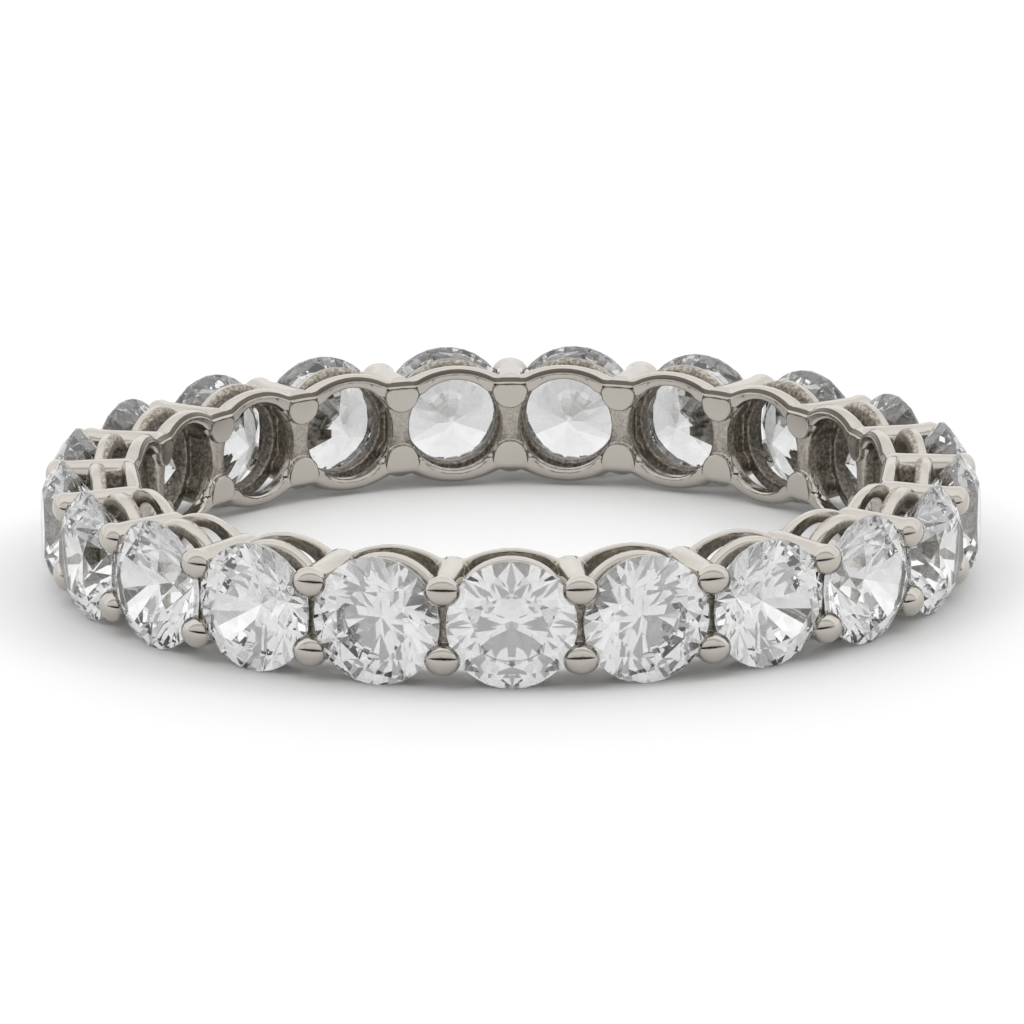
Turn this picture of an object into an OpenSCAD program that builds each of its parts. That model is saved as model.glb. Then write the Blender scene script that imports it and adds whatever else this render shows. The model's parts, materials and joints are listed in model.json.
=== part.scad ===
// Full eternity ring: one cast setting that carries a closed row of round brilliant stones.
// The ring lies on its side. Its axis is Z, the surface under it is z = 0, and the first
// stone faces -Y. Every stone has a radial axis of its own, and neighbours share two claws.

/* [Finger hole] */
// Diameter of the finger hole, between the feet of the claws
finger_d = 16.8; // [16.4:0.05:17.4]

/* [Stones] */
// Number of stones round the ring
stone_n = 21; // [20:1:22]
// Space between the girdles of neighbouring stones
stone_gap = 0.1; // [0.06:0.01:0.16]
// Height of the culets above the finger hole
culet_lift = 0.425; // [0.37:0.005:0.48]
// Table width as a share of the stone's diameter
table_share = 0.57; // [0.53:0.01:0.62]
// Crown height as a share of the diameter
crown_share = 0.148; // [0.13:0.002:0.16]
// Girdle thickness as a share of the diameter
girdle_share = 0.03; // [0.026:0.002:0.04]
// Pavilion depth as a share of the diameter
pavilion_share = 0.431; // [0.42:0.001:0.44]
// Length of the star facets as a share of the way from the table's edge to the girdle
star_share = 0.5; // [0.45:0.01:0.55]
// Length of the lower girdle facets as a share of the way from the girdle to the culet
lower_share = 0.77; // [0.7:0.01:0.82]
// Turn of each stone about its own axis from the one before it, in degrees
stone_turn = 17; // [0:1:44]

/* [Rails] */
// How far the two rails lie back from the stones, on each side of the ring
rail_inset = 0.09; // [0.07:0.01:0.1]
// Distance from the outside of a rail to the bore through it
rail_wall = 0.29; // [0.27:0.01:0.31]
// Height of the inner rail, from the finger hole outwards
inner_rail_h = 0.34; // [0.32:0.01:0.37]
// Height of the open slot between the rails
rail_slot = 0.43; // [0.38:0.01:0.45]
// Height of the outer rail, under the pavilions
outer_rail_h = 0.36; // [0.33:0.01:0.38]
// How far the edge of the finger hole is relieved, measured across the ring
edge_side = 0.12; // [0.08:0.01:0.16]
// Height of that relief above the finger hole
edge_rise = 0.16; // [0.12:0.01:0.2]
// How far the inner rail lies back from the feet of the claws
rail_back = 0.02; // [0.01:0.005:0.03]
// How far the inner rail lies back where it passes between the two feet of a pair
neck_back = 0.14; // [0.12:0.01:0.2]
// Length of that lower part of the rail, across the ring
neck_w = 1; // [0.9:0.05:1.1]

/* [Claws] */
// Distance between the axes of the two claws of a junction, at the finger hole
claw_spread_in = 1.58; // [1.52:0.01:1.62]
// Distance between the axes of the two claws of a junction, at their beads
claw_spread_out = 1.56; // [1.5:0.01:1.62]
// Diameter of a claw's foot in the finger hole
foot_d = 0.82; // [0.76:0.01:0.84]
// How far the outer edge of a foot is relieved, measured across the ring
foot_side = 0.2; // [0.16:0.01:0.24]
// Diameter of a claw below its bead
neck_d = 0.66; // [0.6:0.01:0.7]
// Diameter of a bead
bead_d = 0.78; // [0.76:0.01:0.8]
// Height of a bead's widest place above the girdles
bead_lift = 0.18; // [0.18:0.01:0.2]
// Height of a bead's dome above its widest place
bead_dome = 0.26; // [0.2:0.01:0.28]

/* [Bridges] */
// Thickness of the bridge between the claws of a junction, along the ring
bridge_t = 0.34; // [0.3:0.01:0.36]
// How far a bridge lies back from the feet of its claws
bridge_back = 0.11; // [0.08:0.01:0.11]

/* [Fit] */
// Gap between a stone and its seat
seat_gap = 0.02; // [0.015:0.005:0.03]

/* [Hidden] */
$fn = 64;
finger_r = finger_d / 2;
half_pitch = 180 / stone_n;

// The stones fill the circle: girdle chord = stone diameter + gap, with the girdle's radius
// itself made of the finger hole, the lift and the depth of the stone below its middle.
depth_share = pavilion_share + girdle_share / 2;
stone_d = (2 * (finger_r + culet_lift) * sin(half_pitch) - stone_gap)
    / (1 - 2 * depth_share * sin(half_pitch));
stone_r = stone_d / 2;

// Heights of a stone, measured from the ring's axis along the stone's own axis
culet_z = finger_r + culet_lift;
girdle_low = culet_z + pavilion_share * stone_d;
girdle_top = girdle_low + girdle_share * stone_d;
girdle_mid = (girdle_low + girdle_top) / 2;
table_z = girdle_top + crown_share * stone_d;

// A round brilliant has eight-fold symmetry, and its girdle is cut in 32 steps
FOLD = 8;
GIRDLE_STEPS = 32;
fold_a = 360 / FOLD;
step_a = 360 / GIRDLE_STEPS;
table_r = table_share * stone_r;
table_in = table_r * cos(fold_a / 2);
star_r = table_in + star_share * (stone_r - table_in);
lower_r = (1 - lower_share) * stone_r;
star_z = girdle_top + (table_z - girdle_top)
    * (stone_r - star_r * cos(fold_a / 2)) / (stone_r - table_r);
lower_z = girdle_low - (girdle_low - culet_z)
    * (stone_r - lower_r * cos(fold_a / 2)) / stone_r;

seat_tip = culet_z - 2 * seat_gap;

rail_r = stone_r - rail_inset;
bore_r = rail_r - rail_wall;
inner_rail_top = finger_r + inner_rail_h;
outer_rail_low = inner_rail_top + rail_slot;
outer_rail_top = outer_rail_low + outer_rail_h;
edge_slope = edge_side / edge_rise;
below_hole = 0.2;

// Where the seams of turned shapes lie, so that no seam runs along another shape
claw_seam = 40;
seat_seam = 50;

half_w = stone_r;
bead_z = girdle_mid + bead_lift;
bead_top = bead_z + bead_dome;
dome_r = (pow(bead_d / 2, 2) + pow(bead_dome, 2)) / (2 * bead_dome);
claw_lean = atan((claw_spread_out - claw_spread_in) / 2 / (bead_z - finger_r));

METAL = [0.78, 0.76, 0.73];
GEM = [0.90, 0.93, 0.96];

function stone_name(i) = str("stone_", i < 9 ? "0" : "", i + 1);

// Height at x, y of the plane through the points a, b and c
function plane_z(a, b, c, x, y) =
    let (n = cross(b - a, c - a)) a.z - (n.x * (x - a.x) + n.y * (y - a.y)) / n.z;

function polar(r, angle, z) = [r * cos(angle), r * sin(angle), z];

// Height of the girdle's edge at step j: each small facet is a plane that the round girdle cuts,
// so its edge dips halfway between two facet corners.
function girdle_edge(j, flat_z, tip_r, tip_z) =
    j % 2 == 0 ? flat_z : plane_z(polar(tip_r, fold_a / 2, tip_z), polar(stone_r, 0, flat_z),
        polar(stone_r, fold_a / 2, flat_z), stone_r * cos(step_a), stone_r * sin(step_a));

// One point of each kind after another: table corners, star tips, upper and lower girdle,
// tips of the lower girdle facets, culet
STAR = FOLD;
UPPER = STAR + FOLD;
LOWER = UPPER + GIRDLE_STEPS;
TIP = LOWER + GIRDLE_STEPS;
CULET = TIP + FOLD;
function upper(j) = UPPER + j % GIRDLE_STEPS;
function lower(j) = LOWER + j % GIRDLE_STEPS;
function before(k) = (k + FOLD - 1) % FOLD;

module brilliant() {
    folds = [0 : FOLD - 1];
    steps = [0 : GIRDLE_STEPS - 1];
    halves = [0 : 2 * FOLD - 1];
    points = concat(
        [for (k = folds) polar(table_r, k * fold_a, table_z)],
        [for (k = folds) polar(star_r, (k + 0.5) * fold_a, star_z)],
        [for (j = steps) polar(stone_r, j * step_a, girdle_edge(j, girdle_top, star_r, star_z))],
        [for (j = steps) polar(stone_r, j * step_a, girdle_edge(j, girdle_low, lower_r, lower_z))],
        [for (k = folds) polar(lower_r, (k + 0.5) * fold_a, lower_z)],
        [[0, 0, culet_z]]);
    table = [[for (k = folds) FOLD - 1 - k]];
    stars = [for (k = folds) [(k + 1) % FOLD, STAR + k, k]];
    bezels = [for (k = folds) [STAR + k, upper(4 * k), STAR + before(k), k]];
    upper_halves = [for (j = halves)
        [upper(2 * j + 2), upper(2 * j + 1), upper(2 * j), STAR + floor(j / 2)]];
    girdle = [for (j = steps) [upper(j), upper(j + 1), lower(j + 1), lower(j)]];
    lower_halves = [for (j = halves)
        [TIP + floor(j / 2), lower(2 * j), lower(2 * j + 1), lower(2 * j + 2)]];
    mains = [for (k = folds) [CULET, TIP + before(k), lower(4 * k), TIP + k]];
    polyhedron(points, concat(table, stars, bezels, upper_halves, girdle, lower_halves, mains));
}

// Puts what is drawn along +Z onto the radial line at this many pitches from the first stone
module on_ring(pitches) {
    translate([0, 0, half_w])
        rotate([0, 0, -90 + pitches * 2 * half_pitch])
            rotate([0, 90, 0])
                children();
}

module stone(i) {
    color(GEM)
        on_ring(i)
            rotate([0, 0, i * stone_turn])
                brilliant();
}

// The space that a stone needs: a little more than its pavilion, girdle and crown, open outwards
module seat() {
    g = seat_gap;
    rotate([0, 0, seat_seam]) {
        translate([0, 0, seat_tip])
            cylinder(r1 = 0, r2 = stone_r + g, h = girdle_low - g - seat_tip);
        translate([0, 0, girdle_low - g])
            cylinder(r = stone_r + g, h = girdle_top - girdle_low + 2 * g);
        translate([0, 0, girdle_top + g])
            cylinder(r1 = stone_r + g, r2 = star_r + g, h = star_z - girdle_top);
        translate([0, 0, star_z + g])
            cylinder(r = star_r + g, h = bead_top - girdle_top);
    }
}

// A cylinder along the ring's axis, as seen from a stone or a claw
module across_the_ring(r) {
    rotate([0, 90, 0])
        translate([0, 0, -2 * half_w])
            cylinder(r = r, h = 4 * half_w);
}

// The scalloped rail in the finger hole: one ring about each stone's axis, lower where it passes
// between two feet
module inner_rail() {
    blank_low = finger_r - below_hole;
    face_r = rail_r - edge_side;
    difference() {
        rotate_extrude()
            polygon([[bore_r, blank_low], [face_r - below_hole * edge_slope, blank_low],
                [rail_r, finger_r + edge_rise], [rail_r, inner_rail_top],
                [bore_r, inner_rail_top]]);
        across_the_ring(finger_r + rail_back);
        for (side = [-1, 1])
            rotate([side * half_pitch, 0, 0])
                translate([-neck_w / 2, -foot_d / 2, blank_low - below_hole])
                    cube([neck_w, foot_d, 2 * below_hole + neck_back]);
    }
}

// The rail under the pavilions: one ring about each stone's axis, clear of the stone
module outer_rail() {
    rotate_extrude()
        translate([bore_r, outer_rail_low])
            square([rail_wall, outer_rail_h]);
}

// A claw from its foot to the domed bead, turned about its own axis
module claw_body() {
    blank_low = finger_r - below_hole;
    rotate_extrude()
        union() {
            polygon([[0, blank_low], [foot_d / 2, blank_low], [neck_d / 2, girdle_low],
                [bead_d / 2, bead_z], [0, bead_z]]);
            translate([0, bead_top - dome_r])
                intersection() {
                    circle(dome_r);
                    translate([0, dome_r - bead_dome])
                        square(bead_d);
                }
        }
}

// A claw leans away from its partner, and the edge of its foot that faces out of the ring is
// relieved as the rail's edge is
module claw(side) {
    foot_edge = claw_spread_in / 2 + foot_d / 2 - foot_side;
    difference() {
        translate([side * claw_spread_in / 2, 0, finger_r])
            rotate([0, side * claw_lean, claw_seam])
                translate([0, 0, -finger_r])
                    claw_body();
        translate([side * foot_edge, 0, finger_r])
            rotate([0, side * atan(edge_slope), 0])
                translate([(side - 1) / 2, -0.5, -0.5])
                    cube(1);
    }
}

// The web between the two claws of a junction
module bridge() {
    translate([-claw_spread_in / 2, -bridge_t / 2, finger_r + bridge_back])
        cube([claw_spread_in, bridge_t, girdle_low - finger_r - bridge_back]);
}

// Two claws and their bridge, notched for the stones on both sides
module junction() {
    difference() {
        union() {
            claw(1);
            claw(-1);
            bridge();
        }
        for (side = [-1, 1])
            rotate([side * half_pitch, 0, 0])
                seat();
        across_the_ring(finger_r);
    }
}

// The run of the ring from the first place to the last, each with the junction after it
module run(first, last) {
    for (i = [first : last]) {
        on_ring(i) {
            inner_rail();
            outer_rail();
        }
        on_ring(i + 0.5)
            junction();
    }
}

module setting() {
    middle = floor(stone_n / 2);
    color(METAL) {
        run(0, middle);
        run(middle + 1, stone_n - 1);
    }
}

setting();
for (i = [0 : stone_n - 1])
    stone(i);
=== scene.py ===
"""A full eternity ring that lies on its side on a pale table, in soft studio light.

The setting is modelled here in millimetres about the middle of the ring: a quarter of one place,
from a stone's middle to the middle of the claws beside it, is mirrored twice and repeated round
the ring. The stones are the cut solids themselves with a diamond material.
"""
import json
import math

import bpy
from mathutils import Matrix, Vector


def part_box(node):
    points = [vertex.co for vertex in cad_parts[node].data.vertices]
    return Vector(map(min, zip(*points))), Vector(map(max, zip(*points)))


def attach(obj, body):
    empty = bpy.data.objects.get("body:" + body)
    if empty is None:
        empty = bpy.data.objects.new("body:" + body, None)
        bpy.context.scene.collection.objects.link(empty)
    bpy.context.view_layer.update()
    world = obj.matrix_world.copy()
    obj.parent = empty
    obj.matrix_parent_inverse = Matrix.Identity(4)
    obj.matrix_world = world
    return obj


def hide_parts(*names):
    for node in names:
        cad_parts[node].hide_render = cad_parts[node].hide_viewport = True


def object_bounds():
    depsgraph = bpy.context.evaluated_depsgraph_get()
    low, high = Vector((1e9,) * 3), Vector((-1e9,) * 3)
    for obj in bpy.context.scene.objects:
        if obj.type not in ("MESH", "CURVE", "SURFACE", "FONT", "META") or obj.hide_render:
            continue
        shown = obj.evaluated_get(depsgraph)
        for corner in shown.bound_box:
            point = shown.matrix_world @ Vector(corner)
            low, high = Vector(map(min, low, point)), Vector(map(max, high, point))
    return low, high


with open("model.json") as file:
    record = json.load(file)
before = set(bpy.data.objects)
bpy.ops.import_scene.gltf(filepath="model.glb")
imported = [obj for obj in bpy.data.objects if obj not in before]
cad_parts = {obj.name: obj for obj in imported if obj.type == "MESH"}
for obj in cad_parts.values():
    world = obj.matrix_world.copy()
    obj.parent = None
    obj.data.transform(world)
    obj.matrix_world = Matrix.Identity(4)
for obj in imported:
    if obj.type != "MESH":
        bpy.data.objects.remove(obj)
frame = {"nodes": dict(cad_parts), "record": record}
cad_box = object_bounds()

MM = 0.001
STONES = sum(name.startswith("stone_") for name in frame["nodes"])
PITCH = 2 * math.pi / STONES
HALF_PITCH = PITCH / 2

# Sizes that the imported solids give, in millimetres. The first stone faces -Y.
low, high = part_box("stone_01")
STONE_R = (high.x - low.x) / 2 / MM
CULET = -high.y / MM
TABLE = -low.y / MM
HALF_WIDTH = cad_box[1][2] / 2 / MM
FINGER_R = frame["record"]["mounts"][0]["dims"]["r_mm"]

# Heights along a stone's own axis, from the ring's axis outwards. The pavilion and the girdle are
# shares of the stone's diameter.
PAVILION_SHARE = 0.431
GIRDLE_SHARE = 0.03
GIRDLE_LOW = CULET + PAVILION_SHARE * 2 * STONE_R
GIRDLE_TOP = GIRDLE_LOW + GIRDLE_SHARE * 2 * STONE_R

# The seat follows the crown up to this height and radius, and is open from there outwards
CROWN_EDGE = GIRDLE_TOP + 0.26
CROWN_R = 1.1
SEAT_GAP = 0.02
SEAT_OUT = 0.3

# The two rails about every stone's axis: the outer one is round, the inner one a flatter scallop
RAIL_INSET = 0.09
RAIL_WALL = 0.29
RAIL_R = STONE_R - RAIL_INSET
BORE_R = RAIL_R - RAIL_WALL
CAST_BORE_R = BORE_R - 0.03
INNER_TOP = FINGER_R + 0.34
OUTER_LOW = INNER_TOP + 0.43
OUTER_TOP = OUTER_LOW + 0.36
SCALLOP_R = 2.23
SCALLOP_HOLE = 0.1
SCALLOP_SPARE = math.radians(0.15)
EDGE_SIDE = 0.12
EDGE_RISE = 0.16
EDGE_SLOPE = EDGE_SIDE / EDGE_RISE
BELOW_HOLE = 0.2
ROUND_RAIL = 0.12
RAIL_BACK = 0.02

# The claws and the bridge between the two of a pair
FOOT_R = 0.41
NECK_R = 0.33
BEAD_R = 0.42
BEAD_FLAT = 0.84
BEAD_AT = GIRDLE_LOW + 0.224
BEAD_DOME = 0.26
SPREAD_IN = 1.58 / 2
SPREAD_OUT = 1.56 / 2
FOOT_SIDE = 0.2
FOOT_EDGE = SPREAD_IN + FOOT_R - FOOT_SIDE
BRIDGE_T = 0.34
BRIDGE_BACK = 0.14
NECK_HALF = 0.62

# How many sides round shapes have: the wide scallop, the finger hole, bores and seats, the claws
SCALLOP_STEPS = 320
HOLE_STEPS = 720
ROUND = 160
CLAW_SIDES = 64

# The room round the ring: (degrees up from the horizon in front of the ring, brightness), and the
# least brightness that it has when it is seen through a stone
ROOM = ((0, 0.01), (13, 0.01), (18, 0.9), (31, 1.0), (55, 1.15), (60, 0.7), (68, 0.7),
        (76, 1.4), (105, 1.4), (135, 1.2), (151, 1.38), (157, 1.38), (166, 1.15), (180, 1.0))
ROOM_IN_STONES = 0.45

# How finely the metal is worked: the first mesh makes the fillets, the second the worn edges
FILLET_VOXEL = 0.016
FILLET_PASSES = 14
HOLE_EDGE_PASSES = 25
EDGE_VOXEL = 0.012
EDGE_PASSES = 6
CLEAN_CUT = 0.0015
SHARP = math.radians(38)
SPARE = 0.12
SPARE_TURN = math.radians(2.2)
QUARTER_FACES = 3300


def named(name):
    piece = bpy.context.active_object
    piece.name = name
    return piece


def only(piece):
    bpy.ops.object.select_all(action="DESELECT")
    piece.select_set(True)
    bpy.context.view_layer.objects.active = piece
    return piece


def settle(piece):
    """Puts the object's place into its mesh."""
    only(piece)
    bpy.ops.object.transform_apply(location=True, rotation=True, scale=True)
    return piece


def modify(piece, kind, **values):
    only(piece)
    modifier = piece.modifiers.new(kind.title(), kind)
    for key, value in values.items():
        setattr(modifier, key, value)
    bpy.ops.object.modifier_apply(modifier=modifier.name)


def select_points(piece, wanted):
    """Leaves the piece in edit mode with just the points selected that wanted(co) is true for."""
    only(piece)
    bpy.ops.object.mode_set(mode="EDIT")
    bpy.ops.mesh.select_mode(type="VERT")
    bpy.ops.mesh.select_all(action="DESELECT")
    bpy.ops.object.mode_set(mode="OBJECT")
    for point in piece.data.vertices:
        point.select = wanted(point.co)
    bpy.ops.object.mode_set(mode="EDIT")


def take_away(piece, *rooms):
    """Cuts the rooms out of the piece and deletes them."""
    for room in rooms:
        modify(piece, "BOOLEAN", operation="DIFFERENCE", object=room, solver="EXACT")
        bpy.data.objects.remove(room)


def cut_off(piece, normal, point=(0, 0, 0), fill=False):
    """Cuts away all that lies beyond the plane, on the side that its normal points to."""
    only(piece)
    bpy.ops.object.mode_set(mode="EDIT")
    bpy.ops.mesh.select_all(action="SELECT")
    bpy.ops.mesh.bisect(
        plane_co=point, plane_no=normal, use_fill=fill, clear_outer=True, threshold=1e-5)
    bpy.ops.object.mode_set(mode="OBJECT")


def turned(name, outline, steps):
    """A ring about the first stone's axis. The outline is drawn as (radius, height) corners, and
    a third value rounds a corner off."""
    radius, height = outline[0][:2]
    bpy.ops.mesh.primitive_plane_add(size=0.1, location=(radius, -height, 0))
    piece = settle(named(name))
    bpy.ops.object.mode_set(mode="EDIT")
    bpy.ops.mesh.select_mode(type="VERT")
    bpy.ops.mesh.select_all(action="SELECT")
    bpy.ops.mesh.merge(type="CENTER")
    for (radius, height, *_), (next_radius, next_height, *_) in zip(outline, outline[1:]):
        bpy.ops.mesh.extrude_region_move(
            TRANSFORM_OT_translate={"value": (next_radius - radius, height - next_height, 0)})
    bpy.ops.mesh.select_all(action="SELECT")
    bpy.ops.mesh.edge_face_add()
    bpy.ops.object.mode_set(mode="OBJECT")
    for radius, height, *rounding in outline:
        if rounding:
            corner = Vector((radius, -height, 0))
            select_points(piece, lambda co: (co - corner).length < 1e-4)
            bpy.ops.mesh.bevel(
                offset=rounding[0], segments=8, affect="VERTICES", clamp_overlap=False)
            bpy.ops.object.mode_set(mode="OBJECT")
    bpy.ops.object.mode_set(mode="EDIT")
    bpy.ops.mesh.select_all(action="SELECT")
    bpy.ops.mesh.spin(steps=steps, angle=2 * math.pi, center=(0, 0, 0), axis=(0, 1, 0))
    bpy.ops.mesh.select_all(action="SELECT")
    bpy.ops.mesh.remove_doubles(threshold=1e-5)
    bpy.ops.mesh.normals_make_consistent(inside=False)
    bpy.ops.object.mode_set(mode="OBJECT")
    return piece


def column(name, sections, sides):
    """A closed column up +Z: a cone between the first two (radius, height) sections, whose end
    is extruded and scaled to each of the others."""
    (first_r, first_z), (radius, top) = sections[:2]
    bpy.ops.mesh.primitive_cone_add(
        vertices=sides, radius1=first_r, radius2=radius, depth=top - first_z,
        location=(0, 0, (first_z + top) / 2))
    piece = settle(named(name))
    for next_r, next_z in sections[2:]:
        select_points(piece, lambda co: abs(co.z - top) < 1e-5)
        bpy.ops.mesh.select_mode(type="FACE")
        bpy.ops.mesh.extrude_region_move(TRANSFORM_OT_translate={"value": (0, 0, next_z - top)})
        share = next_r / radius
        bpy.ops.transform.resize(value=(share, share, 1), center_override=(0, 0, next_z))
        bpy.ops.object.mode_set(mode="OBJECT")
        radius, top = next_r, next_z
    return piece


def stand_out(piece, turn, side=0.0, lean=0.0):
    """Lays a column's +Z along the radial line at this angle from -Y. It may start beside the
    middle plane, and lean further to that side about its place on the finger hole."""
    foot = Matrix.Translation((0, -FINGER_R, side))
    tip = foot @ Matrix.Rotation(-lean, 4, "X") @ Matrix.Translation((0, FINGER_R, 0))
    piece.matrix_world = Matrix.Rotation(turn, 4, "Z") @ tip @ Matrix.Rotation(math.pi / 2, 4, "X")
    return settle(piece)


def next_place(piece, name):
    """A copy of the piece, one stone further round the ring."""
    only(piece)
    bpy.ops.object.duplicate()
    copy = named(name)
    copy.matrix_world = Matrix.Rotation(PITCH, 4, "Z") @ copy.matrix_world
    return settle(copy)


def inner_rail():
    """The upper half of the scalloped rail in the finger hole, from a wide disc with a relieved
    edge. It is bored under the stone, and lower between feet."""
    low_z = FINGER_R - BELOW_HOLE
    rail = turned("inner rail", [
        (SCALLOP_HOLE, INNER_TOP),
        (SCALLOP_R, INNER_TOP, 0.05),
        (SCALLOP_R, FINGER_R + EDGE_RISE),
        (SCALLOP_R - EDGE_SIDE - BELOW_HOLE * EDGE_SLOPE, low_z),
        (SCALLOP_HOLE, low_z)], SCALLOP_STEPS)
    rail.location.z = RAIL_R - SCALLOP_R
    settle(rail)
    cut_off(rail, (0, 0, -1), (0, 0, -2 * SPARE), fill=True)
    end = HALF_PITCH + SCALLOP_SPARE
    for side in (-1, 1):
        cut_off(rail, (side * math.cos(end), math.sin(end), 0), fill=True)
    bore = column("bore", [(BORE_R, low_z - BELOW_HOLE), (BORE_R, INNER_TOP + BELOW_HOLE)], ROUND)
    necks = neck_room(HALF_PITCH), neck_room(-HALF_PITCH)
    take_away(rail, stand_out(bore, 0), finger_room(RAIL_BACK), *necks)
    return rail


def outer_rail():
    """The half-round rail under the pavilions"""
    return turned("outer rail", [
        (CAST_BORE_R, OUTER_TOP),
        (RAIL_R, OUTER_TOP, ROUND_RAIL),
        (RAIL_R, OUTER_LOW, ROUND_RAIL),
        (CAST_BORE_R, OUTER_LOW)], ROUND)


def claw():
    """One claw of a pair, from its relieved foot in the finger hole to its domed bead, which is
    wider along the ring than across it"""
    dome = [math.radians(angle) for angle in (0, 15, 30, 45, 60, 72, 82)]
    bead = [(BEAD_R * math.cos(a), BEAD_AT + BEAD_DOME * math.sin(a)) for a in dome]
    shaft = [(FOOT_R, FINGER_R - BELOW_HOLE), (NECK_R, GIRDLE_LOW)]
    post = column("claw", shaft + bead, CLAW_SIDES)
    select_points(post, lambda co: co.z > GIRDLE_LOW + 0.01)
    bpy.ops.transform.resize(value=(1, BEAD_FLAT, 1), center_override=(0, 0, 0))
    bpy.ops.object.mode_set(mode="OBJECT")
    lean = math.atan((SPREAD_OUT - SPREAD_IN) / (BEAD_AT - FINGER_R))
    stand_out(post, HALF_PITCH, SPREAD_IN, lean)
    outwards = Vector((math.sin(HALF_PITCH), -math.cos(HALF_PITCH), 0))
    cut_off(post, Vector((0, 0, 1)) - outwards * EDGE_SLOPE,
            outwards * FINGER_R + Vector((0, 0, FOOT_EDGE)), fill=True)
    take_away(post, finger_room())
    return post


def bridge():
    """The web between the two claws of a pair"""
    height = GIRDLE_LOW - FINGER_R - BRIDGE_BACK
    bpy.ops.mesh.primitive_cube_add(size=1)
    web = named("bridge")
    web.matrix_world = (
        Matrix.Rotation(HALF_PITCH, 4, "Z")
        @ Matrix.Translation((0, -(FINGER_R + BRIDGE_BACK + height / 2), 0))
        @ Matrix.Diagonal((BRIDGE_T, height, 2 * SPREAD_IN, 1)))
    return settle(web)


def stone_room():
    """The space that a stone needs, open outwards"""
    return stand_out(column("seat", [
        (0, CULET - 2 * SEAT_GAP),
        (STONE_R + SEAT_GAP, GIRDLE_LOW - SEAT_GAP),
        (STONE_R + SEAT_GAP, GIRDLE_TOP + SEAT_GAP),
        (CROWN_R + SEAT_GAP, CROWN_EDGE + SEAT_GAP),
        (CROWN_R + SEAT_GAP, TABLE + SEAT_OUT)], ROUND), 0)


def finger_room(back=0.0):
    """The finger hole, or the wider one that lies this far back"""
    bpy.ops.mesh.primitive_cylinder_add(
        vertices=HOLE_STEPS, radius=FINGER_R + back, depth=4 * HALF_WIDTH)
    return named("finger")


def rail_room():
    """The finger hole as wide as the rails leave it, with the upper foot left standing"""
    room = finger_room(RAIL_BACK + CLEAN_CUT)
    ends = [(FOOT_R, FINGER_R - BELOW_HOLE), (FOOT_R, FINGER_R + BELOW_HOLE)]
    foot = column("foot", ends, CLAW_SIDES)
    take_away(room, stand_out(foot, HALF_PITCH, SPREAD_IN))
    return room


def neck_room(turn):
    """What is cut away from the inner rail between the two feet of a pair"""
    bpy.ops.mesh.primitive_cube_add(size=2)
    room = named("neck")
    room.matrix_world = (
        Matrix.Rotation(turn, 4, "Z")
        @ Matrix.Translation((0, -FINGER_R, 0))
        @ Matrix.Diagonal((NECK_HALF, BRIDGE_BACK, SPREAD_IN, 1)))
    return settle(room)


def quarter_of_a_place():
    """The metal between a stone's middle and the middle of the next claws, on the upper half"""
    rails = [inner_rail(), outer_rail()]
    rails += [next_place(rail, "next " + rail.name) for rail in rails]
    blank = rails[0]
    others = rails[1:] + [claw(), bridge()]
    bpy.ops.object.select_all(action="DESELECT")
    for piece in others + [blank]:
        piece.select_set(True)
    bpy.context.view_layer.objects.active = blank
    bpy.ops.object.join()
    blank = named("setting")
    modify(blank, "REMESH", mode="VOXEL", voxel_size=FILLET_VOXEL)
    far = HALF_PITCH + SPARE_TURN
    cut_off(blank, (0, 0, -1), (0, 0, -SPARE), fill=True)
    cut_off(blank, (-math.cos(SPARE_TURN), math.sin(SPARE_TURN), 0), fill=True)
    cut_off(blank, (math.cos(far), math.sin(far), 0), fill=True)
    modify(blank, "SMOOTH", factor=0.5, iterations=FILLET_PASSES)
    edge_from = FOOT_EDGE - EDGE_SIDE
    select_points(blank, lambda co: co.xy.length < INNER_TOP - EDGE_SIDE and co.z > edge_from)
    bpy.ops.mesh.vertices_smooth(factor=0.5, repeat=HOLE_EDGE_PASSES)
    bpy.ops.object.mode_set(mode="OBJECT")
    seat = stone_room()
    take_away(blank, next_place(seat, "next seat"), seat)
    modify(blank, "REMESH", mode="VOXEL", voxel_size=EDGE_VOXEL)
    modify(blank, "SMOOTH", factor=0.5, iterations=EDGE_PASSES)
    modify(blank, "DECIMATE", ratio=QUARTER_FACES / (2 * len(blank.data.polygons)))
    take_away(blank, rail_room(), finger_room(CLEAN_CUT))
    cut_off(blank, (0, 0, -1))
    cut_off(blank, (-1, 0, 0))
    cut_off(blank, (math.cos(HALF_PITCH), math.sin(HALF_PITCH), 0))
    modify(blank, "TRIANGULATE")
    return blank


def mark_hole_faces(piece):
    """Marks the outlines of the faces in the finger hole as sharp, so that they shade as flat."""
    cuts = (FINGER_R + CLEAN_CUT, FINGER_R + RAIL_BACK + CLEAN_CUT)
    select_points(piece, lambda co: min(abs(co.xy.length - cut) for cut in cuts) < CLEAN_CUT / 2)
    bpy.ops.mesh.select_mode(type="FACE")
    bpy.ops.mesh.region_to_loop()
    bpy.ops.mesh.mark_sharp()
    bpy.ops.object.mode_set(mode="OBJECT")


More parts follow.
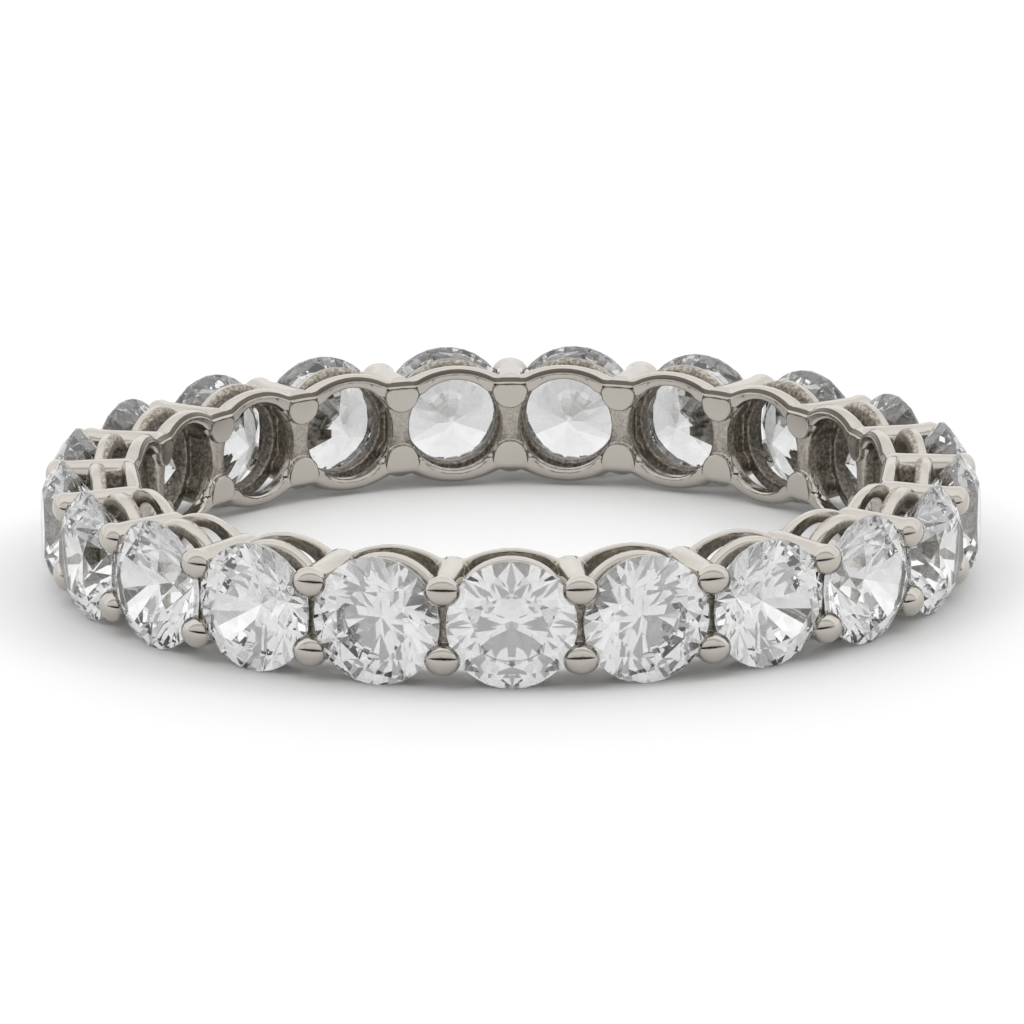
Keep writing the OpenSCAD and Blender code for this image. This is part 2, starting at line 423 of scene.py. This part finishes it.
def make_setting():
    """The whole cast setting, from a quarter of a place"""
    setting = quarter_of_a_place()
    for axis in ("Z", "X"):
        modify(setting, "MIRROR", use_axis=tuple(a == axis for a in "XYZ"), merge_threshold=1e-4)
    only(setting)
    bpy.ops.object.mode_set(mode="EDIT")
    bpy.ops.mesh.select_all(action="SELECT")
    bpy.ops.mesh.spin(
        steps=STONES - 1, angle=PITCH * (STONES - 1), center=(0, 0, 0), axis=(0, 0, 1), dupli=True)
    bpy.ops.mesh.select_all(action="SELECT")
    bpy.ops.mesh.remove_doubles(threshold=3e-4)
    bpy.ops.mesh.normals_make_consistent(inside=False)
    bpy.ops.object.mode_set(mode="OBJECT")
    mark_hole_faces(setting)
    setting.matrix_world = Matrix.Translation((0, 0, HALF_WIDTH * MM)) @ Matrix.Scale(MM, 4)
    settle(setting)
    bpy.ops.object.shade_smooth_by_angle(angle=SHARP)
    modify(setting, "WEIGHTED_NORMAL", weight=50, keep_sharp=True)
    setting.name = "cast_setting"
    return setting


class Nodes:
    """Short ways to add shader nodes to one tree"""

    def __init__(self, tree):
        self.tree = tree

    def add(self, kind, **values):
        node = self.tree.nodes.new(kind)
        for key, value in values.items():
            setattr(node, key, value)
        return node

    def link(self, source, target):
        self.tree.links.new(source, target)

    def feed(self, node, inputs):
        for key, value in inputs.items():
            socket = node.inputs[key]
            if isinstance(value, bpy.types.NodeSocket):
                self.link(value, socket)
            else:
                socket.default_value = value
        return node

    def math(self, operation, *values, clamp=False):
        node = self.add("ShaderNodeMath", operation=operation, use_clamp=clamp)
        return self.feed(node, dict(enumerate(values))).outputs[0]

    def smooth(self, value, start, end, low=0.0, high=1.0):
        node = self.add("ShaderNodeMapRange", interpolation_type="SMOOTHSTEP")
        names = ("Value", "From Min", "From Max", "To Min", "To Max")
        return self.feed(node, dict(zip(names, (value, start, end, low, high)))).outputs[0]

    def noise(self, vector, scale, detail=3.0, roughness=0.55):
        node = self.add("ShaderNodeTexNoise")
        inputs = {"Vector": vector, "Scale": scale, "Detail": detail, "Roughness": roughness}
        return self.feed(node, inputs).outputs["Fac"]

    def mix(self, share, one, other):
        node = self.add("ShaderNodeMix", data_type="RGBA")
        return self.feed(node, {"Factor": share, 6: one, 7: other}).outputs[2]


def new_group(name, inputs, outputs):
    """A shader node group and its Nodes. Sockets are given as {name: type}."""
    tree = bpy.data.node_groups.new(name, "ShaderNodeTree")
    for direction, sockets in (("INPUT", inputs), ("OUTPUT", outputs)):
        for socket, kind in sockets.items():
            tree.interface.new_socket(
                name=socket, in_out=direction, socket_type="NodeSocket" + kind)
    nodes = Nodes(tree)
    return tree, nodes, nodes.add("NodeGroupInput"), nodes.add("NodeGroupOutput")


def place_group():
    """Where a point of the ring lies, in millimetres: its distances from the ring's axis, from the
    nearest stone's axis, from the axis of the nearest claw and from the middle plane"""
    tree, n, given, out = new_group("ring place", {}, {
        "Point": "Vector", "Radius": "Float", "From Stone": "Float", "From Claw": "Float",
        "Side": "Float"})
    coords = n.add("ShaderNodeTexCoord")
    mapping = n.add("ShaderNodeMapping", vector_type="POINT")
    n.feed(mapping, {
        "Vector": coords.outputs["Object"], "Location": (0, 0, -HALF_WIDTH),
        "Scale": (1 / MM,) * 3})
    point = mapping.outputs[0]
    xyz = n.feed(n.add("ShaderNodeSeparateXYZ"), {0: point}).outputs
    radius = n.math("SQRT", n.math(
        "ADD", n.math("MULTIPLY", xyz[0], xyz[0]), n.math("MULTIPLY", xyz[1], xyz[1])))
    turn = n.math("DIVIDE", n.math("ARCTAN2", xyz[0], n.math("MULTIPLY", xyz[1], -1.0)), PITCH)
    side = n.math("ABSOLUTE", xyz[2])

    def beside(places):
        """Distance along the ring from the nearest place"""
        part = n.math("SUBTRACT", n.math("FRACT", n.math("ADD", turn, places)), 0.5)
        return n.math("MULTIPLY", radius, n.math("SINE", n.math("MULTIPLY", part, PITCH)))

    def distance(one, other):
        return n.math("SQRT", n.math(
            "ADD", n.math("MULTIPLY", one, one), n.math("MULTIPLY", other, other)))

    from_stone = distance(beside(STONES + 0.5), side)
    from_claw = distance(beside(STONES + 0.0), n.math("SUBTRACT", side, SPREAD_IN))
    n.feed(out, {
        "Point": point, "Radius": radius, "From Stone": from_stone, "From Claw": from_claw,
        "Side": side})
    return tree


def grain_group():
    """The skin of rough cast metal: a height and a mottling, both from 0 to 1"""
    tree, n, given, out = new_group(
        "cast grain", {"Point": "Vector", "Grain": "Float"}, {"Height": "Float", "Mottle": "Float"})
    fine = n.noise(given.outputs["Point"], given.outputs["Grain"], 4.0, 0.65)
    wide = n.noise(given.outputs["Point"], n.math("MULTIPLY", given.outputs["Grain"], 0.32), 2.0)
    n.feed(out, {
        "Height": n.math("ADD", n.math("MULTIPLY", fine, 0.6), n.math("MULTIPLY", wide, 0.4)),
        "Mottle": n.smooth(fine, 0.38, 0.66)})
    return tree


def white_metal(ring_place):
    """Rhodium-grey gold: polished outside, as cast in the slot, the bores and on the bridges. Its
    darker tone there is partly painted shade, and its dark lines in the finger hole are painted
    shade and painted reflection
    """
    material = bpy.data.materials.new("white_metal")
    material.use_nodes = True
    n = Nodes(material.node_tree)
    shader = material.node_tree.nodes["Principled BSDF"]
    place = n.add("ShaderNodeGroup", node_tree=ring_place).outputs
    grain = n.add("ShaderNodeGroup", node_tree=grain_group())
    n.feed(grain, {"Point": place["Point"], "Grain": 13.0})

    # Cast skin: inside the bores past the polished rim, in the slot, and between the claws. Its
    # grain and mottle are the metal's own, and its darker tone there is partly painted shade in
    # these recesses.
    past_rim = n.smooth(place["Radius"], INNER_TOP - 0.1, INNER_TOP + 0.02)
    under_stone = n.smooth(place["Radius"], GIRDLE_LOW + 0.08, GIRDLE_LOW - 0.02)
    within = n.smooth(place["From Stone"], RAIL_R - 0.05, RAIL_R - 0.16)
    outside_claw = n.smooth(place["Side"], SPREAD_IN, SPREAD_IN + 0.18)
    rough = n.math("MULTIPLY", n.math("MULTIPLY", past_rim, under_stone), within)
    between = n.math("MULTIPLY", n.smooth(place["Side"], 0.5, 0.36), n.math(
        "MULTIPLY", n.smooth(place["Radius"], FINGER_R + 0.05, FINGER_R + 0.09),
        n.smooth(place["Radius"], FINGER_R + 0.16, FINGER_R + 0.24, 0.45, 1.0)))
    in_slot = n.math(
        "MULTIPLY", n.smooth(place["Radius"], INNER_TOP + 0.01, INNER_TOP + 0.05),
        n.smooth(place["Radius"], OUTER_LOW + 0.2, OUTER_LOW + 0.12))
    off_posts = n.smooth(place["From Stone"], RAIL_R + 0.08, RAIL_R + 0.02)
    fade = n.math("SUBTRACT", 1.0, n.math("MULTIPLY", outside_claw, 0.35))
    under = n.math("MULTIPLY", rough, fade)
    cast = n.math("MAXIMUM", n.math("MULTIPLY", in_slot, off_posts), n.math(
        "MAXIMUM", under, between))

    # Painted shade: a dark hairline round the inner side of each foot, where it meets the rail in
    # the finger hole
    on_hole = n.smooth(place["Radius"], FINGER_R + 0.03, FINGER_R + 0.012)
    off_line = n.math("ABSOLUTE", n.math("SUBTRACT", place["From Claw"], FOOT_R - 0.01))
    inner_side = n.smooth(place["Side"], SPREAD_IN + 0.15, SPREAD_IN)
    foot_line_shade = n.math("MULTIPLY", inner_side, n.math(
        "MULTIPLY", on_hole, n.smooth(off_line, 0.014, 0.004)))

    # Painted reflection: a dark line, standing in for the dark band of the room seen in the edge,
    # where the face in the finger hole turns over to its relieved edge
    above_face = n.math("SUBTRACT", place["Radius"], FINGER_R + RAIL_BACK)
    line_top = n.smooth(place["From Claw"], FOOT_R, FOOT_R + 0.1, 0.1, 0.075)
    edge_reflection_line = n.math("MULTIPLY", n.smooth(above_face, 0.002, 0.01), n.smooth(
        n.math("SUBTRACT", above_face, line_top), 0.01, -0.01))
    height = n.feed(n.add("ShaderNodeSeparateXYZ"), {0: place["Point"]}).outputs[2]
    at_edge = n.math("MULTIPLY", n.smooth(height, 0.82, 0.92), n.smooth(
        place["From Stone"], BORE_R + 0.08, BORE_R + 0.12))
    # The painted shade line and the painted reflection line together, which also sink the bump as a
    # shallow groove
    painted_line_and_groove = n.math("MAXIMUM", foot_line_shade, n.math("MULTIPLY", edge_reflection_line, at_edge))

    polish_shade = n.noise(place["Point"], 2.2, 2.0)
    polished = n.mix(polish_shade, (0.475, 0.448, 0.405, 1), (0.51, 0.482, 0.438, 1))
    rough_tone_and_shade = n.mix(
        grain.outputs["Mottle"], (0.2, 0.178, 0.148, 1), (0.52, 0.48, 0.42, 1))
    # Partly painted shade: the cast skin takes the darker, mottled tone in the slot, the bores,
    # under the stones and between the claws
    tone = n.mix(cast, polished, rough_tone_and_shade)
    # Painted shade and painted reflection: the lines take a near-black colour
    tone = n.mix(n.math("MULTIPLY", painted_line_and_groove, 0.92), tone, (0.07, 0.062, 0.05, 1))
    n.link(tone, shader.inputs["Base Color"])
    satin = n.smooth(n.noise(place["Point"], 5.0), 0.3, 0.7, 0.09, 0.15)
    roughness = n.math("ADD", n.math("MULTIPLY", cast, 0.3), satin)
    n.link(roughness, shader.inputs["Roughness"])
    shader.inputs["Metallic"].default_value = 1.0

    skin = n.math("ADD", n.math("MULTIPLY", grain.outputs["Height"], cast), n.math(
        "MULTIPLY", painted_line_and_groove, -0.6))
    bump = n.add("ShaderNodeBump")
    n.feed(bump, {"Height": skin, "Strength": 0.9, "Distance": 0.00003})
    n.link(bump.outputs[0], shader.inputs["Normal"])
    return material


def diamond(ring_place):
    """Colourless brilliant, with a frosted girdle"""
    material = bpy.data.materials.new("diamond")
    material.use_nodes = True
    n = Nodes(material.node_tree)
    shader = material.node_tree.nodes["Principled BSDF"]
    place = n.add("ShaderNodeGroup", node_tree=ring_place).outputs
    at_girdle = n.smooth(place["From Stone"], STONE_R * 0.983, STONE_R * 0.99)
    frost = n.noise(place["Point"], 18.0, 3.0)
    polish = n.noise(place["Point"], 1.5, 1.0)
    frosted = n.math("MULTIPLY", at_girdle, n.math("MULTIPLY", frost, 0.5))
    n.link(frosted, shader.inputs["Roughness"])
    clear = n.mix(polish, (0.75, 0.75, 0.75, 1), (0.72, 0.725, 0.73, 1))
    n.link(clear, shader.inputs["Base Color"])
    shader.inputs["Transmission Weight"].default_value = 1.0
    shader.inputs["IOR"].default_value = 2.0
    return material


def table_top():
    """Plain pale surface under the ring"""
    material = bpy.data.materials.new("pale_table")
    material.use_nodes = True
    n = Nodes(material.node_tree)
    shader = material.node_tree.nodes["Principled BSDF"]
    coords = n.add("ShaderNodeTexCoord")
    shade = n.noise(coords.outputs["Object"], 60.0, 2.0)
    pale = n.mix(shade, (0.76, 0.76, 0.76, 1), (0.785, 0.785, 0.785, 1))
    n.link(pale, shader.inputs["Base Color"])
    shader.inputs["Roughness"].default_value = 0.6
    bpy.ops.mesh.primitive_circle_add(vertices=96, radius=0.9, fill_type="NGON")
    table = named("table")
    table.data.materials.append(material)


def studio():
    """A white room over the table. Its brightness is given by the angle from the horizon in front
    of the ring, over the top, to the horizon behind it, and what is seen through a stone is never
    darker than a middle grey."""
    world = bpy.data.worlds.new("studio")
    bpy.context.scene.world = world
    world.use_nodes = True
    n = Nodes(world.node_tree)
    coords = n.add("ShaderNodeTexCoord")
    xyz = n.feed(n.add("ShaderNodeSeparateXYZ"), {0: coords.outputs["Generated"]}).outputs
    rise = n.math("ARCTAN2", xyz[2], n.math("MULTIPLY", xyz[1], -1.0))
    ramp = n.feed(n.add("ShaderNodeValToRGB"), {"Fac": n.math("DIVIDE", rise, math.pi)})
    stops = ramp.color_ramp.elements
    for degrees, grey in ROOM:
        ends = {0: stops[0], 180: stops[-1]}
        stop = ends[degrees] if degrees in ends else stops.new(degrees / 180)
        stop.color = (grey, grey, grey, 1)
    through = n.add("ShaderNodeLightPath").outputs["Is Transmission Ray"]
    seen = n.math("MAXIMUM", ramp.outputs["Color"], n.math("MULTIPLY", through, ROOM_IN_STONES))
    n.link(seen, world.node_tree.nodes["Background"].inputs["Color"])


def camera():
    """The photograph's view: 14.1 degrees off the plane of the ring, from far away"""
    elevation = math.radians(14.08)
    distance = 418.0
    pixels_per_mm = 44.2
    centre_right, centre_down = -1.1, 1.3
    roll = math.radians(-0.4)
    data = bpy.data.cameras.new("camera")
    data.sensor_width = 36.0
    data.lens = 649.7
    data.clip_start = 0.01
    data.clip_end = 20.0
    eye = bpy.data.objects.new("camera", data)
    bpy.context.scene.collection.objects.link(eye)
    back = Vector((0, -math.cos(elevation), math.sin(elevation)))
    turn = (-back).to_track_quat("-Z", "Y").to_matrix() @ Matrix.Rotation(roll, 3, "Z")
    aside = turn @ Vector((-centre_right / pixels_per_mm, centre_down / pixels_per_mm, 0))
    eye.matrix_world = Matrix.Translation(
        (Vector((0, 0, HALF_WIDTH)) + back * distance + aside) * MM) @ turn.to_4x4()
    bpy.context.scene.camera = eye


def lamp(name, place, size, power):
    data = bpy.data.lights.new(name, "AREA")
    data.size = size
    data.energy = power
    light = bpy.data.objects.new(name, data)
    bpy.context.scene.collection.objects.link(light)
    light.location = place
    light.rotation_euler = (-Vector(place)).to_track_quat("-Z", "Y").to_euler()
    light.visible_glossy = False
    light.visible_transmission = False


bpy.ops.object.select_all(action="DESELECT")
camera()
studio()
table_top()
lamp("soft box left", (-0.35, -0.25, 0.5), 0.3, 0.6)
lamp("soft box right", (0.4, 0.1, 0.45), 0.2, 0.4)

ring_place = place_group()
setting = make_setting()
setting.data.materials.clear()
setting.data.materials.append(white_metal(ring_place))
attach(setting, "root")
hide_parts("setting")

gem = diamond(ring_place)
for name, node in frame["nodes"].items():
    if name.startswith("stone_"):
        node.data.materials.clear()
        node.data.materials.append(gem)

scene = bpy.context.scene
scene.view_settings.view_transform = "Standard"
scene.cycles.max_bounces = 24
scene.cycles.transmission_bounces = 20
scene.cycles.glossy_bounces = 8
scene.cycles.diffuse_bounces = 4
